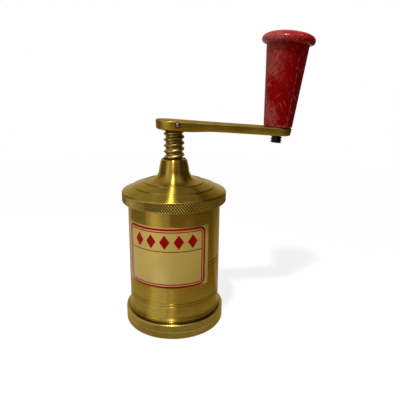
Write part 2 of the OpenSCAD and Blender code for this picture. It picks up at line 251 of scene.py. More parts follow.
bm = bmesh.new()
bmesh.ops.create_circle(bm, cap_ends=True, radius=FLOOR_R * MM, segments=96)
floor = made("floor", bm, floor_paper)
floor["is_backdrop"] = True
print("floor radius", FLOOR_R, "mm")

# %% [markdown]
# ## Lamps and cards
# A small lamp overhead draws the hard streak on the lid and the neck, and a soft box on the left draws the
# upright one on the drum. A wide panel fills the shadows. Reflections don't see the panel, because it
# would wash over every land of the lid. Turned metal mirrors whatever stands around it, and white on all
# sides would make it look flat. A studio puts cards out of view, and so does this one: brown and grey ones
# around and behind, and paler ones on the table. The two by the foot glow blue, though they are no lamps,
# which paints a bluish reflection up the drum's lower part.

# %% Lamps
AIM_AT = Vector((0, 0, 60)) * MM


def around(degrees, height, away):
    """A place at an angle to the right of the camera, as seen from the spindle."""
    angle = view_azimuth + radians(degrees)
    return Vector((away * cos(angle), away * sin(angle), height)) * MM


def lamp(name, place, width, height, watts):
    """A flat lamp that faces the middle of the drum."""
    light = bpy.data.lights.new(name, "AREA")
    light.shape, light.size, light.size_y, light.energy = "RECTANGLE", width * MM, height * MM, watts
    thing = bpy.data.objects.new(name, light)
    bpy.context.scene.collection.objects.link(thing)
    facing = (place - AIM_AT).to_track_quat("Z", "Y").to_matrix().to_4x4()
    thing.matrix_world = Matrix.Translation(place) @ facing
    print(name, "at", watts, "W")
    return thing


lamp("small lamp overhead", around(-14, 710, 262), 36, 48, 5.0)
lamp("soft box on the left", around(-48, 170, 620), 220, 300, 0.28)
panel = lamp("ceiling panel", around(-62, 760, 420), 900, 900, 2.5)
panel.visible_glossy = False

# %% Cards
CARD_STEPS = 12


def spin(bm, geom, angle, steps, climb=0.0, merge=False):
    """Carry an outline about the Z axis; it climbs a little at each step."""
    bmesh.ops.spin(bm, geom=geom, cent=(0, 0, 0), axis=(0, 0, 1), dvec=(0, 0, climb), angle=angle,
                   steps=steps, use_merge=merge)


def card(name, colour, first, last, near, far, **glow):
    """A card that only reflections see, bent from one angle to another; near and far are rims,
    each a distance and a height."""
    board = Finish(name, Roughness=0.95, Specular_IOR_Level=0.0, **glow)
    bm = bmesh.new()
    verts = [bm.verts.new(around(first, height, away)) for away, height in (near, far)]
    edge = bm.edges.new(verts)
    spin(bm, verts + [edge], radians(last - first), CARD_STEPS)
    thing = made(name, bm, board.done((*colour, 1)))
    thing.visible_camera = thing.visible_shadow = thing.visible_diffuse = False
    thing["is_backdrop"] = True


card("brown card in front", (0.22, 0.18, 0.09), -12, 45, (360, 2), (360, 320))
card("brown card on the right", (0.11, 0.085, 0.03), 45, 140, (260, 2), (260, 420))
card("grey card on the left", (0.35, 0.31, 0.22), -125, -68, (260, 2), (260, 260))
card("pale card on the table", (0.90, 0.82, 0.62), -56, -28, (36, 4), (355, 4))
card("brown card on the table", (0.50, 0.41, 0.20), -28, 110, (46, 4), (355, 4))
# These two cards glow blue though they are no lamps: a painted reflection on the lower drum.
card("glowing white card by the foot", (0.90, 0.86, 0.80), -48, -16, (34, 5), (84, 5),
     Emission_Color=(0.24, 0.38, 1.0, 1), Emission_Strength=1.5)
card("glowing grey card by the foot", (0.60, 0.54, 0.40), -16, -6, (34, 5), (84, 5),
     Emission_Color=(0.10, 0.20, 1.0, 1), Emission_Strength=0.7)
card("brown card behind", (0.22, 0.18, 0.10), 180, 220, (260, 350), (25, 430))
card("brown card behind on the right", (0.16, 0.10, 0.02), 120, 180, (260, 340), (25, 430))
print("cards placed, camera azimuth", round(view_azimuth, 3))

# %% [markdown]
# ## Turned brass
# The drum, the lid and the foot came off a lathe, and the tool left fine rings all round them. Rings
# stretch each reflection across themselves, which is why a lamp shows as an upright streak on the drum.
# The shader's anisotropy gives that streak. A noise that changes fast along the profile and slowly round
# the piece gives the rings, and a slow noise gives the olive tarnish. The direction from the axis goes in
# as a unit vector, not as an angle, so the pattern has no seam at the back.

# %% Turned brass finish
BRASS_BRIGHT = (0.315, 0.212, 0.040, 1)
BRASS_DEEP = (0.215, 0.135, 0.012, 1)
BRASS_BROWN = (0.085, 0.046, 0.006, 1)
BRASS_EDGE = (0.80, 0.68, 0.50, 1)
NOT_ZERO = 0.01


def ringed(finish, bright, deep):
    """Colour, roughness, ring height and radius of metal that was turned about the Z axis."""
    x, y, z = finish.point()
    r = (x * x + y * y) ** 0.5 + NOT_ZERO
    across, along, path = x / r, y / r, z + r * 1.3
    fine = finish.noise(across * 3, along * 3, path * 7, 3)
    rings = finish.noise(across * 1.2, along * 1.2, path * 1.6, 3, 0.6)
    drift = finish.noise(across * 1.6, along * 1.6, path * 0.07, 4, 0.6)
    spots = finish.noise(x * 0.9, y * 0.9, z * 0.9, 3, 0.7).rise(0.70, 0.80)
    tone = ((rings - 0.5) * 0.9 + (drift - 0.5) * 1.2 + 0.5).rise(0.15, 0.85)
    colour = finish.mix(spots * 0.55, finish.mix(tone, deep, bright), BRASS_BROWN)
    roughness = 0.30 + (rings - 0.5) * 0.12 + (drift - 0.5) * 0.16 + spots * 0.15
    return colour, roughness, fine * 0.6 + rings * 0.4, r


def ringed_brass(name, bright, deep, rougher, relief, **even):
    """A brass with turning rings and nothing more; rougher is added to its roughness."""
    brass = Finish(name, Metallic=1.0, Specular_Tint=BRASS_EDGE, **even)
    colour, roughness, rings, r = ringed(brass, bright, deep)
    return brass.done(colour, roughness + rougher, rings, relief)


turned_brass = ringed_brass("turned brass", BRASS_BRIGHT, BRASS_DEEP, 0, 0.004, Anisotropic=1.0,
                            Anisotropic_Rotation=0.25)

# %% [markdown]
# ## Turning a piece
# A turned piece is its half section carried once round the axis. The section is drawn as one flat face
# from a few corners, because then the bevel operator can round each corner to its own size. The face is
# dropped again, and its outline is spun. All sizes are millimetres until the piece is placed.

# %% Turning
TURN_STEPS = 252
ON_AXIS, WELD = 0.001, 0.0005


def half_section(corners):
    """A flat half section; each corner is a radius, a height and a rounding."""
    bm = bmesh.new()
    verts = [bm.verts.new((r, 0, z)) for r, z, _ in corners]
    bm.faces.new(verts)
    for size in sorted({corner[2] for corner in corners} - {0}):
        # A larger rounding gets more segments.
        bmesh.ops.bevel(bm, geom=[v for v, corner in zip(verts, corners) if corner[2] == size], offset=size,
                        segments=3 + min(int(size * 2), 13), profile=0.5, affect="VERTICES", material=-1)
    return bm


def turn(bm, steps=TURN_STEPS):
    """Spin the outline of a half section into a closed piece."""
    bmesh.ops.delete(bm, geom=bm.faces[:], context="FACES_ONLY")
    edges = [e for e in bm.edges if max(v.co.x for v in e.verts) > ON_AXIS]
    spin(bm, list({v for e in edges for v in e.verts}) + edges, 2 * pi, steps, merge=True)
    bmesh.ops.delete(bm, geom=[e for e in bm.edges if not e.link_faces], context="EDGES")
    bmesh.ops.remove_doubles(bm, verts=bm.verts, dist=WELD)
    bmesh.ops.recalc_face_normals(bm, faces=bm.faces)
    return bm


print("turning with", TURN_STEPS, "steps")

# %% Placing a piece
# A piece's list of finishes holds its main one first, then that of its knurl and of burnished corners, whose
# lighter colour is partly a painted highlight.
KNURLED, BURNISHED_AND_HIGHLIT = 1, 2
SHARP_ANGLE = radians(32)


def placed(name, bm, finishes, body, slot, *nodes):
    """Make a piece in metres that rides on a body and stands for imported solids."""
    bmesh.ops.scale(bm, vec=(MM, MM, MM), verts=bm.verts)
    for face in bm.faces:
        face.smooth = face.material_index != KNURLED
    open_edges = sum(e.is_boundary for e in bm.edges)
    piece = made(name, bm, *finishes)
    piece.data.set_sharp_from_angle(angle=SHARP_ANGLE)
    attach(piece, body)
    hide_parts(*nodes)
    print(name, "has", len(piece.data.polygons), "faces and", open_edges, "open edges")
    return piece


print("edges stay sharp past", round(SHARP_ANGLE, 2), "radians")

# %% [markdown]
# ## The drum
# The drum has a short spigot that plugs into the foot, a thin lip that flares over the foot's rim, two
# pairs of fine grooves, and inside a shelf that the grinding plate rests against.

# %% Drum
DRUM_R, BORE_R, DRUM_TOP = 26.6, 24.4, 78.45
SPIGOT_R, SPIGOT_BORE_R, SPIGOT_LOW = 26.5, 25.2, 2.6
LIP_R, LIP_LOW, LIP_TOP, FLARE_TOP = 27.4, 9.2, 10.45, 11.47
NOTCH_R, NOTCH_LOW, NOTCH_MIDDLE, NOTCH_TOP = 26.8, 9.55, 9.78, 10.0
SHELF_R, SHELF_LOW, SHELF_TOP = 22.5, 16, 18.5
GROOVES = (18.9, 20.5, 39.8, 42.0)
GROOVE_HALF, GROOVE_DEEP = 0.27, 0.22

drum_section = [(SPIGOT_BORE_R, SPIGOT_LOW, 0.2), (SPIGOT_R, SPIGOT_LOW, 0.3), (SPIGOT_R, LIP_LOW, 0),
                (LIP_R, LIP_LOW, 0.12), (LIP_R, NOTCH_LOW, 0.12), (NOTCH_R, NOTCH_MIDDLE, 0.05),
                (LIP_R, NOTCH_TOP, 0.12), (LIP_R, LIP_TOP, 0.15), (DRUM_R, FLARE_TOP, 1.15)]
for height in GROOVES:
    drum_section += [(DRUM_R, height - GROOVE_HALF, 0.06), (DRUM_R - GROOVE_DEEP, height, 0.08),
                     (DRUM_R, height + GROOVE_HALF, 0.06)]
drum_section += [(DRUM_R, DRUM_TOP, 0.5), (BORE_R, DRUM_TOP, 0.3), (BORE_R, SHELF_TOP, 0),
                 (SHELF_R, SHELF_TOP, 0.2), (SHELF_R, SHELF_LOW, 0), (SPIGOT_BORE_R, SHELF_LOW, 0)]
placed("turned_drum", turn(half_section(drum_section)), [turned_brass], "drum", "brass_turned", "barrel")

# %% [markdown]
# ## Knurling
# A knurl is rolled into the rim so that fingers can grip it. The rim's wall is spun with a few rows of
# points, and every other point is pressed in, as on a chess board. Joining the pressed points across each
# face leaves four-sided points between crossing valleys. The valleys that rise to the right are then
# lifted a little, because on this mill the other ones are cut deeper. Hands burnish the corner beside a
# knurl, which wipes out the lathe's rings there, so that corner gets a finish without anisotropy.

# %% Knurled brass finish
KNURL_DEEP, KNURL_LIFT = 0.46, 0.4
BRASS_RUBBED_HIGHLIGHT = (0.62, 0.46, 0.18, 1)
BRASS_DIRT_AND_SHADE = (0.040, 0.020, 0.004, 1)


def knurled_brass(name, radius, rubbed_highlight_share, dirt_and_shade_share):
    """Brass whose knurl is lighter at its crests, rubbed wear and a painted highlight, and darker in its
    valleys, dirt and painted shade.
    """
    knurled = Finish(name, Metallic=1.0, Specular_Tint=BRASS_EDGE)
    colour, roughness, rings, r = ringed(knurled, BRASS_BRIGHT, BRASS_DEEP)
    # Lighter towards the crests: rubbed wear and a painted highlight.
    rubbed = r.rise(radius - KNURL_DEEP * 0.5, radius - KNURL_DEEP * 0.1)
    # Darker towards the valley floors: dirt and painted shade.
    dirt_and_shade_valleys = r.rise(radius - KNURL_DEEP * 0.4, radius - KNURL_DEEP)
    colour = knurled.mix(rubbed * rubbed_highlight_share, colour, BRASS_RUBBED_HIGHLIGHT)
    colour = knurled.mix(dirt_and_shade_valleys * dirt_and_shade_share, colour, BRASS_DIRT_AND_SHADE)
    return knurled.done(colour, roughness - rubbed * 0.08, rings, 0.004)


print("knurl depth", KNURL_DEEP, "mm")

# %% Knurling tool
NEAR = 0.01


def rows_of(radius, low, high, rows):
    """The corners of a wall that is to be knurled."""
    return [(radius, low + (high - low) * row / rows, 0) for row in range(rows + 1)]


def knurl(bm, radius, low, high, rows):
    """Press a diamond knurl into a spun wall that has a ring of points at each row."""
    cell = (high - low) / rows
    band = [v for v in bm.verts if abs(hypot(v.co.x, v.co.y) - radius) < NEAR
            and low - NEAR < v.co.z < high + NEAR]
    pits = [v for v in band if (round(atan2(v.co.y, v.co.x) / (2 * pi) * TURN_STEPS)
                                + round((v.co.z - low) / cell)) % 2]
    points = set(band)
    for face in {f for v in band for f in v.link_faces if points.issuperset(f.verts)}:
        face.material_index = KNURLED
    press = 1 - KNURL_DEEP / radius
    bmesh.ops.scale(bm, vec=(press, press, 1), verts=pits)
    valleys = bmesh.ops.connect_verts(bm, verts=pits)["edges"]
    rising = [e for e in valleys if (e.verts[1].co.z - e.verts[0].co.z)
              * e.verts[0].co.xy.cross(e.verts[1].co.xy) > 0]
    lifted = bmesh.ops.subdivide_edges(bm, edges=rising, cuts=1, use_single_edge=True)["geom_inner"]
    lifted = [v for v in lifted if isinstance(v, bmesh.types.BMVert)]
    lift = 1 + KNURL_LIFT * KNURL_DEEP / radius
    bmesh.ops.scale(bm, vec=(lift, lift, 1), verts=lifted)
    print("knurl:", len(pits), "pits and", len(rising), "lifted valleys")


print("points count as on the wall within", NEAR, "mm")

# %% Burnished corners
CORNER_DEEP = 0.75
# Burnished brass is lighter than turned brass: polish and a painted highlight.
BURNISHED_HIGHLIT_BRIGHT, BURNISHED_HIGHLIT_DEEP = (0.42, 0.30, 0.09, 1), (0.27, 0.18, 0.03, 1)

burnished_highlit_brass = ringed_brass("burnished brass with painted highlight", BURNISHED_HIGHLIT_BRIGHT, BURNISHED_HIGHLIT_DEEP, -0.02, 0.003)


def burnish_and_highlight(bm, radius, low, high):
    """Give the outer faces between two heights the burnished finish, lighter as a painted highlight."""
    for face in bm.faces:
        if all(low < v.co.z < high and hypot(v.co.x, v.co.y) > radius - CORNER_DEEP for v in face.verts):
            face.material_index = BURNISHED_AND_HIGHLIT


# %% [markdown]
# ## The foot cup
# The foot is a shallow cup that catches the grounds. Its wall has two knurled bands with a fine line
# between them, and its rim is a narrow smooth land.

# %% Foot cup
FOOT_R, FOOT_TOP, FOOT_LINE = 29.4, 8.68, 4.1
STAND_R, HOLLOW_R, HOLLOW_UP = 24.3, 24, 0.25
CUP_R, CUP_FLOOR, CUP_MOUTH_R, CUP_MOUTH_LOW = 26.58, 2.2, 27.2, 8.1
lower_band, upper_band = (0.85, 3.85, 3), (4.35, 8.15, 4)
foot_section = [(0, HOLLOW_UP, 0), (HOLLOW_R, HOLLOW_UP, 0.1), (STAND_R, 0, 0.1), (FOOT_R - 0.5, 0, 0.2)]
foot_section += rows_of(FOOT_R, *lower_band) + [(FOOT_R - 0.3, FOOT_LINE, 0.06)]
foot_section += rows_of(FOOT_R, *upper_band)
foot_section += [(FOOT_R - 0.45, FOOT_TOP, 0.2), (CUP_MOUTH_R, FOOT_TOP, 0.2), (CUP_R, CUP_MOUTH_LOW, 0),
                 (CUP_R, CUP_FLOOR, 0.8), (0, CUP_FLOOR, 0)]
bm = turn(half_section(foot_section))
for band in (lower_band, upper_band):
    knurl(bm, FOOT_R, *band)
burnish_and_highlight(bm, FOOT_R, upper_band[1] - NEAR, FOOT_TOP + NEAR)
burnish_and_highlight(bm, FOOT_R, lower_band[1] - NEAR, upper_band[0] + NEAR)
foot_finishes = [turned_brass, knurled_brass("knurled foot brass", FOOT_R, 0.2, 0.9), burnished_highlit_brass]
placed("foot_cup", bm, foot_finishes, "base", "brass_knurled", "base_cup")

# %% [markdown]
# ## The lid
# The lid climbs in two low steps to a hollow curve that sweeps up into the neck. Each of these is only a
# corner of the section with a rounding of its own, the sweep being the largest.

# %% Lid
LID_R, LID_LOW, RIM_TOP = 29.985, 73.92, 79.98
LID_BORE_R, LID_CEILING = 26.68, 78.5
STEP_R, STEP_LOW, STEP_TOP = 23.5, 82.58, 82.98
UPPER_STEP_R, UPPER_STEP_LOW, UPPER_STEP_TOP = 17.3, 84.88, 85.28
NECK_R, NECK_SWEEP, NECK_TAPER, NECK_TOP = 8.5, 7.1, 92.5, 97.88
TIP_R, TIP_LOW, TIP_TOP_R, TIP_BORE_R = 7.45, 97.2, 6.75, 6.4
NUT_SEAT_R, NUT_SEAT_TOP = 7.2, 90
lid_band = (74.6, 79.2, 5)
lid_section = [(NUT_SEAT_R, LID_CEILING, 0), (LID_BORE_R, LID_CEILING, 0), (LID_BORE_R, LID_LOW, 0.4),
               (LID_R - 0.55, LID_LOW, 0.2)]
lid_section += rows_of(LID_R, *lid_band)
lid_section += [(LID_R - 0.5, RIM_TOP, 0.25), (STEP_R, STEP_LOW, 0.1), (STEP_R, STEP_TOP, 0.14),
                (UPPER_STEP_R, UPPER_STEP_LOW, 0.1), (UPPER_STEP_R, UPPER_STEP_TOP, 0.14),
                (NECK_R, UPPER_STEP_TOP, NECK_SWEEP), (NECK_R, NECK_TAPER, 0), (TIP_R, TIP_LOW, 0.25),
                (TIP_TOP_R, NECK_TOP, 0.2), (TIP_BORE_R, NECK_TOP, 0.1), (TIP_BORE_R, NUT_SEAT_TOP, 0),
                (NUT_SEAT_R, NUT_SEAT_TOP, 0)]
bm = turn(half_section(lid_section))
knurl(bm, LID_R, *lid_band)
burnish_and_highlight(bm, LID_R, lid_band[1] - NEAR, RIM_TOP + 2 * NEAR)
lid_finishes = [turned_brass, knurled_brass("knurled rim brass", LID_R, 0.8, 0.9), burnished_highlit_brass]
placed("stepped_lid", bm, lid_finishes, "cap", "brass_knurled", "lid")

# %% [markdown]
# ## The label
# The label is thin foil, printed with a red frame. The sheet is a small rectangle spun through part of a
# turn. The print is worked out from the distance along the drum and the height, so it needs no picture:
# a rounded box gives the frame's two rules, and a row of lozenges fills the band above the divider. The
# red has bled a little, which leaves a blush beside each printed edge.

# %% Label print
LABEL_LOW, LABEL_HIGH = 30.2, 65.4
LABEL_TURN, LABEL_SPAN = radians(-109), radians(111.5)
LABEL_R = DRUM_R + 0.14
PRINT_DROP, PRINT_SLANT = 0.3, 0.0135
FRAME_SHIFT, FRAME_WIDE, FRAME_TALL, FRAME_ROUND = 0.55, 23.6, 16.7, 3.2
INNER_RULE, DIVIDER_UP = 1.55, 4.2
OUTER_WIDE, INNER_WIDE, DIVIDER_WIDE = 1.2, 0.7, 0.5
LOZENGE_UP, LOZENGE_STEP, LOZENGE_WIDE, LOZENGE_TALL = 9.6, 3.9, 2.9, 4.1

foil = Finish("label foil", Specular_IOR_Level=0.06)
x, y, z = foil.point()
cos_turn, sin_turn = cos(LABEL_TURN), sin(LABEL_TURN)
along = foil.add("ShaderNodeMath", {"operation": "ARCTAN2"}, {0: y * cos_turn - x * sin_turn,
                                                              1: x * cos_turn + y * sin_turn}) * LABEL_R
up = z - (LABEL_LOW + LABEL_HIGH) / 2 + PRINT_DROP - along * PRINT_SLANT


def box_distance(along, up, half_width, half_height, rounding):
    """How far a point lies outside a box with rounded corners."""
    side, top = abs(along) - (half_width - rounding), abs(up) - (half_height - rounding)
    outside = (side.most(0) ** 2 + top.most(0) ** 2) ** 0.5
    return outside + side.most(top).least(0) - rounding


def rule(distance, width):
    """A printed line where a distance is nearly zero."""
    return abs(distance).rise(width / 2 + 0.05, width / 2 - 0.05)


edge = box_distance(along + FRAME_SHIFT, up, FRAME_WIDE, FRAME_TALL, FRAME_ROUND)
outer, inner = rule(edge, OUTER_WIDE), rule(edge + INNER_RULE, INNER_WIDE)
divider = rule(up - DIVIDER_UP, DIVIDER_WIDE) * (edge + 1.5).rise(0.1, 0)
cell = foil.add("ShaderNodeMath", {"operation": "PINGPONG"}, {0: along, 1: LOZENGE_STEP})
from_lozenge = cell / LOZENGE_WIDE + abs(up - LOZENGE_UP) / LOZENGE_TALL
lozenge = from_lozenge.rise(1.02, 0.98) * abs(along).rise(19.6, 19.4)
blush = (edge + 0.4).rise(-1.3, -0.9) * (edge - 0.2).rise(1.0, 0.6)
blush = blush.most(from_lozenge.rise(1.25, 1.1) * abs(along).rise(20.2, 19.6) * 0.6)
print("label sheet", round(LABEL_R * LABEL_SPAN, 1), "mm along the drum")

# %% Label foil
FOIL_DEEP, FOIL_PALE = (0.43, 0.311, 0.075, 1), (0.50, 0.372, 0.099, 1)
FOIL_FLECK, FOIL_BLUSH = (0.26, 0.17, 0.045, 1), (0.66, 0.23, 0.13, 1)
PRINT_RED, PRINT_BROWN = (0.235, 0.0006, 0.0008, 1), (0.14, 0.012, 0.004, 1)

blotch = foil.noise(x * 0.12, y * 0.12, z * 0.12, 4)
grain = foil.noise(x * 3, y * 3, z * 3, 2)
colour = foil.mix(blotch, FOIL_DEEP, FOIL_PALE)
colour = foil.mix(grain.rise(0.66, 0.74) * 0.3, colour, FOIL_FLECK)
colour = foil.mix(blush * 0.45, colour, FOIL_BLUSH)
colour = foil.mix((outer + lozenge + inner * 0.9).least(1), colour, PRINT_RED)
colour = foil.mix(divider, colour, PRINT_BROWN)
foil.feed(foil.shader.inputs["Metallic"], (outer + lozenge + inner).rise(0.6, 0.1) * 0.3)
label_foil = foil.done(colour, 0.34 + (blotch - 0.5) * 0.2 + (grain - 0.5) * 0.08, grain, 0.004)

# %% Label sheet
LABEL_INSET, LABEL_TRIM, LABEL_GAP = 0.02, 0.0005, 0.005


def close_ends(bm):
    """Fill the open outlines that a spin or a cut has left."""
    bmesh.ops.holes_fill(bm, edges=[e for e in bm.edges if e.is_boundary], sides=0)


sheet_low, sheet_high, sheet_back = LABEL_LOW + LABEL_INSET, LABEL_HIGH - LABEL_INSET, DRUM_R + LABEL_GAP
bm = half_section([(sheet_back, sheet_low, 0), (LABEL_R, sheet_low, 0.05), (LABEL_R, sheet_high, 0.05),
                   (sheet_back, sheet_high, 0)])
bmesh.ops.delete(bm, geom=bm.faces[:], context="FACES_ONLY")
sheet_start = LABEL_TURN - LABEL_SPAN / 2 + LABEL_TRIM
bmesh.ops.rotate(bm, cent=(0, 0, 0), matrix=Matrix.Rotation(sheet_start, 3, "Z"), verts=bm.verts)
spin(bm, bm.verts[:] + bm.edges[:], LABEL_SPAN - 2 * LABEL_TRIM, 96)
close_ends(bm)
bmesh.ops.recalc_face_normals(bm, faces=bm.faces)
placed("drum_label", bm, [label_foil], "drum", "label_foil", "label")

# %% [markdown]
# ## The screw spindle
# The coarse thread is one profile, with a flat crest, a flat root and steep flanks, carried round and up
# at once. The spin operator does that when it gets a small rise for each step, and the top of one turn
# then meets the bottom of the next. The ends run wild, so they are cut square and closed, and a plain core
# carries the head below and the arm above. The arm droops, and the core's top was filed flush with it, so
# it is cut at the same slant. The brass is painted darker in the roots, as shade.

# %% Spindle finish
ROOT_R, CREST_R = 4.7, 5.8
THREAD_BRIGHT, THREAD_DEEP = (0.35, 0.252, 0.080, 1), (0.22, 0.145, 0.028, 1)
ROOT_SHADE = (0.085, 0.044, 0.012, 1)

threaded = Finish("threaded brass", Metallic=1.0, Specular_Tint=BRASS_EDGE)
colour, roughness, rings, r = ringed(threaded, THREAD_BRIGHT, THREAD_DEEP)
# Painted shade: the brass is darker towards the roots.
root_shade = r.rise(CREST_R - 0.4, ROOT_R)
colour = threaded.mix(root_shade * 0.25, colour, ROOT_SHADE)
threaded_brass = threaded.done(colour, roughness + root_shade * 0.05 + 0.1, rings, 0.006)

# %% Screw tool
SPARE_TURNS = 2
THREAD_WELD = 0.002


def ridge(flank):
    """A thread's whole ridge from one flank, whose heights count from the middle of the crest."""
    return [(r, -z) for r, z in reversed(flank) if z > 0] + flank


def sliced(bm, place, normal, inner=False, outer=False):
    """Cut along a plane; inner and outer say which side is cleared."""
    bmesh.ops.bisect_plane(bm, geom=bm.verts[:] + bm.edges[:] + bm.faces[:], plane_co=place,
                           plane_no=normal, clear_inner=inner, clear_outer=outer)


def screw(profile, pitch, start, low, high, steps):
    """A right-hand screw from one pitch of its profile, cut square at both ends."""
    bm = bmesh.new()
    verts = [bm.verts.new((r, 0, z)) for r, z in profile]
    edges = [bm.edges.new(pair) for pair in zip(verts, verts[1:])]
    bmesh.ops.rotate(bm, cent=(0, 0, 0), matrix=Matrix.Rotation(start, 3, "Z"), verts=bm.verts)
    # It starts a little off two whole turns below, so that no corner lies right on a cut.
    bmesh.ops.translate(bm, vec=(0, 0, low - (SPARE_TURNS + 0.01) * pitch), verts=bm.verts)
    turns = int((high - low) / pitch) + 2 * SPARE_TURNS
    spin(bm, verts + edges, 2 * pi * turns, turns * steps, climb=pitch / steps)
    bmesh.ops.remove_doubles(bm, verts=bm.verts, dist=THREAD_WELD)
    sliced(bm, (0, 0, low), (0, 0, 1), inner=True)
    sliced(bm, (0, 0, high), (0, 0, 1), outer=True)
    close_ends(bm)
    bmesh.ops.recalc_face_normals(bm, faces=bm.faces)
    return bm


def gathered(*parts):
    """Several closed shapes in one bmesh."""
    whole = bmesh.new()
    for part in parts:
        shape = made("shape", part).data
        whole.from_mesh(shape)
        bpy.data.meshes.remove(shape)
    return whole


print("screws are cut from", SPARE_TURNS, "turns more at each end")

# %% Spindle
PITCH = 3.3
THREAD_LOW, THREAD_HIGH = 46.15, 113.2
THREAD_START = radians(-148)
ARM_TOP, DROOP = 119.3, radians(4)
CORE_R, CORE_BLANK_TOP = 4.3, 121
HEAD_SEAT_R, HEAD_SEAT_LOW, HEAD_SEAT_TOP = 3.6, 32.25, 42.85

flank = [(CREST_R, 0), (CREST_R, 0.09), (CREST_R - 0.12, 0.14), (ROOT_R + 0.2, 0.29), (ROOT_R, 0.36),
         (ROOT_R, 0.5)]
crest = ridge([(r, share * PITCH) for r, share in flank])
thread = screw(crest, PITCH, THREAD_START, THREAD_LOW, THREAD_HIGH, steps=40)
core_section = [(0, HEAD_SEAT_LOW, 0), (HEAD_SEAT_R, HEAD_SEAT_LOW, 0.4), (HEAD_SEAT_R, HEAD_SEAT_TOP, 0),
                (CORE_R, HEAD_SEAT_TOP, 0), (CORE_R, CORE_BLANK_TOP, 0), (0, CORE_BLANK_TOP, 0)]
core = turn(half_section(core_section), steps=64)
sliced(core, (0, 0, ARM_TOP - 0.03), (sin(DROOP), 0, cos(DROOP)), outer=True)
close_ends(core)
placed("screw_spindle", gathered(thread, core), [threaded_brass], "crank", "brass_thread", "spindle")

# %% [markdown]
# ## The crank arm
# The arm is a flat casting: a round hub, a slight waist and a round end. Its outline starts as six
# corners, and rounding them by nearly the full radius makes the two ends. It is pulled down to its
# thickness, drawn in a little below as a casting is, thinned towards its end and bevelled. The spindle's
# hole, the bolt's hole and the set screw's hole are cut last. The arm droops, so it is built level and
# tilted.

# %% Arm finish
ARM_LEN = 60.8
FILED_DEEP, FILED_BRIGHT = (0.215, 0.140, 0.014, 1), (0.315, 0.212, 0.036, 1)
on_arm = Matrix.Translation((0, 0, ARM_TOP)) @ Matrix.Rotation(DROOP, 4, "Y")

filed = Finish("filed brass", Metallic=1.0, Specular_Tint=(0.58, 0.47, 0.32, 1))
x, y, z = filed.point((0, 0, ARM_TOP * MM), DROOP)
strokes = filed.noise(x * 0.35, y * 5, z * 5, 4, 0.6)
cloud = filed.noise(x * 0.09, y * 0.16, z * 0.16, 4, 0.6)
nicks = filed.noise(x * 0.8, y * 1.2, z * 1.2, 2).rise(0.71, 0.77)
tone = ((strokes - 0.5) * 0.8 + (cloud - 0.5) * 1.4 + 0.5).rise(0.15, 0.85)
colour = filed.mix(nicks * 0.5, filed.mix(tone, FILED_DEEP, FILED_BRIGHT), BRASS_BROWN)
filed_brass = filed.done(colour, 0.42 + (strokes - 0.5) * 0.2 + (cloud - 0.5) * 0.2, strokes, 0.008)

# %% Arm blank
HUB_R, HUB_ROUND, HUB_T = 10.2, 10.1, 5.4
WAIST_X, WAIST_R, WAIST_ROUND = 30.4, 7.3, 13
END_R, END_ROUND, END_T = 8.2, 8.1, 4.6
UNDER_DRAWN = (0.985, 0.94, 1)
THIN_FROM, THIN_OVER = 6.4, 16
ARM_CUTS = (7, 10, 13, 17, 22, 28, 34, 40, 46, 52)

arm_side = [(-HUB_R, HUB_R, HUB_ROUND), (WAIST_X, WAIST_R, WAIST_ROUND), (ARM_LEN + END_R, END_R, END_ROUND)]
arm = half_section(arm_side + [(x, -y, size) for x, y, size in reversed(arm_side)])
bmesh.ops.rotate(arm, cent=(0, 0, 0), matrix=Matrix.Rotation(radians(-90), 3, "X"), verts=arm.verts)
under = [v for v in bmesh.ops.extrude_face_region(arm, geom=arm.faces[:], use_keep_orig=True)["geom"]
         if isinstance(v, bmesh.types.BMVert)]
bmesh.ops.translate(arm, vec=(0, 0, -HUB_T), verts=under)
bmesh.ops.scale(arm, vec=UNDER_DRAWN, space=Matrix.Translation((-ARM_LEN / 2, 0, 0)), verts=under)
for cut in ARM_CUTS:
    sliced(arm, (cut, 0, 0), (1, 0, 0))
for v in arm.verts:
    if v.co.z < -HUB_T / 2:
        share = min(max((v.co.x - THIN_FROM) / THIN_OVER, 0), 1)
        v.co.z += (HUB_T - END_T) * share * share * (3 - 2 * share)
bmesh.ops.recalc_face_normals(arm, faces=arm.faces)


def brink(bm, low, high):
    """The edges between the walls and a level face, at heights between low and high."""
    return [e for e in bm.edges if len(e.link_faces) == 2 and all(low < v.co.z < high for v in e.verts)
            and abs(e.link_faces[0].normal.z) + abs(e.link_faces[1].normal.z) < 1.5
            and max(abs(f.normal.z) for f in e.link_faces) > 0.8]


for low, high, size in ((-0.1, 0.1, 0.9), (-9, -3, 1.1)):
    bmesh.ops.bevel(arm, geom=brink(arm, low, high), offset=size, segments=5, profile=0.5, affect="EDGES",
                    material=-1)
bmesh.ops.transform(arm, matrix=on_arm, verts=arm.verts)
print("arm blank has", len(arm.faces), "faces")

# %% Arm holes
GRUB_DROP, GRUB_TURN = 2.0, radians(6.5)
SPINDLE_HOLE_R, BOLT_HOLE_R, GRUB_HOLE_R = 4.34, 3.26, 1.62
BOSS_LOW_R, BOSS_TOP_R, BOSS_LOW, BOSS_TOP = 5.1, 6.4, 113.22, 114.5


def carved(blank, *tools):
    """Cut closed shapes out of another one with the Boolean modifier."""
    things = [made("shape", shape) for shape in (blank, *tools)]
    for tool in things[1:]:
        cut = things[0].modifiers.new("cut", "BOOLEAN")
        cut.operation, cut.object, cut.solver = "DIFFERENCE", tool, "EXACT"
    bm = bmesh.new()
    bm.from_object(things[0], bpy.context.evaluated_depsgraph_get())
    for thing in things:
        bpy.data.meshes.remove(thing.data)
    return bm


def drill(radius, low, high, matrix):
    """A round cutter between two heights of a frame."""
    bm = turn(half_section([(0, low, 0), (radius, low, 0), (radius, high, 0), (0, high, 0)]), steps=48)
    bmesh.ops.transform(bm, matrix=matrix, verts=bm.verts)
    return bm


